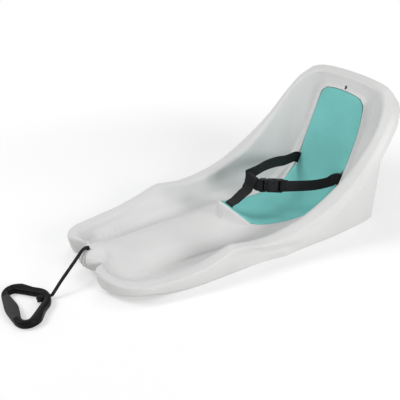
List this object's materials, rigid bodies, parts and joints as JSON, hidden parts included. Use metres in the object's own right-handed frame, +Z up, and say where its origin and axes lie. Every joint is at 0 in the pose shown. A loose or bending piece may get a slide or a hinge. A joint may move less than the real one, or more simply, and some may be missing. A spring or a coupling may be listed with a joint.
{
  "type": "baby pull sled",
  "caption": "Moulded pull sled with a high rounded back, a foam seat pad, a three-point harness with a side-release buckle, and a short tow rope that ends in a triangular handle.",
  "frame": {"origin": "on the ground, in the middle of the footprint of the sled and its pull handle", "axes": "+X to the rider's left as drawn from above with the nose down the page, +Y from the nose to the back, +Z up"},
  "size_m": [0.4386, 1.0358, 0.3707],
  "materials": {
    "shell_plastic": "white moulded plastic, satin",
    "pad_foam": "teal closed-cell foam, matte",
    "webbing": "black woven webbing",
    "buckle_plastic": "black moulded plastic, satin",
    "rope": "black braided cord",
    "handle_plastic": "black moulded plastic, half gloss",
    "grip_rubber": "dark grey soft grip, matte"
  },
  "bodies": {
    "root": {"shell": "shell_plastic", "seat_pad": "pad_foam", "waist_strap_left": "webbing", "left_strap_stop": "buckle_plastic", "waist_strap_right": "webbing", "right_strap_stop": "buckle_plastic", "crotch_strap": "webbing", "crotch_strap_stop": "buckle_plastic", "buckle_male": "buckle_plastic", "rope_stop_knot": "rope"},
    "buckle_half": {"buckle_female": "buckle_plastic"},
    "tow_line": {"tow_rope": "rope"},
    "handle": {"handle_knot": "rope", "pull_handle": "handle_plastic", "handle_grip": "grip_rubber"}
  },
  "joints": [
    {"name": "buckle_release", "type": "slide", "parent": "root", "child": "buckle_half", "axis": [0.5403, 0.841, -0.0286], "range_m": [0, 0.028], "deforming": ["waist_strap_right"]},
    {"name": "tow_swing", "type": "hinge", "parent": "root", "child": "tow_line", "pos_m": [0, -0.3009, 0.07547], "axis": [-1, 0, 0], "range_deg": [0, 75]},
    {"name": "handle_swing", "type": "hinge", "parent": "tow_line", "child": "handle", "pos_m": [0.0437, -0.41132, 0.0095], "axis": [-1, 0, 0], "range_deg": [0, 40]}
  ]
}
